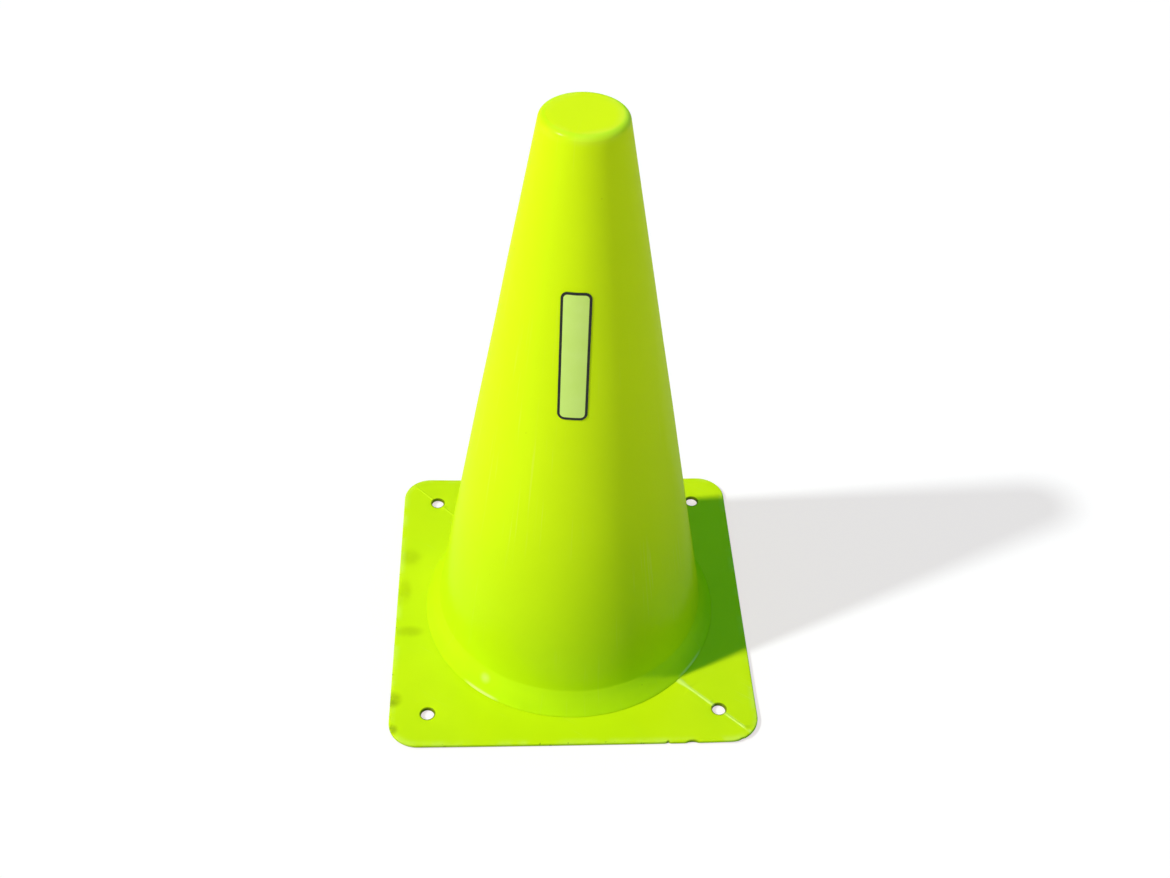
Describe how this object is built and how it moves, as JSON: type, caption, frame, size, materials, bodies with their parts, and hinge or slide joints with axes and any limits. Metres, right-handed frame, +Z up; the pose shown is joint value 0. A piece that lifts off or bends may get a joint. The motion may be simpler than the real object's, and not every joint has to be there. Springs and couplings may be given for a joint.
{
  "type": "sports marker cone",
  "caption": "Hollow lime-coloured plastic marker cone with a flat closed top, seated by its flared foot in a square base plate with a peg hole near each corner and a blank write-on panel.",
  "frame": {"origin": "on the ground, at the centre of the square base plate", "axes": "+Z up along the cone's axis, X and Y along the plate's sides, -Y towards the side with the write-on panel"},
  "size_m": [0.235, 0.235, 0.38],
  "materials": {
    "cone_plastic": "glossy fluorescent yellow-green polyethylene, slightly translucent, with fine handling scratches",
    "plate_plastic": "glossy fluorescent yellow-green polyethylene with a raised mould line and scuffed edges",
    "panel_film": "pale yellow-green film with a black border"
  },
  "bodies": {
    "root": {"cone_body": "cone_plastic", "base_plate": "plate_plastic", "write_on_panel": "panel_film"}
  },
  "joints": []
}
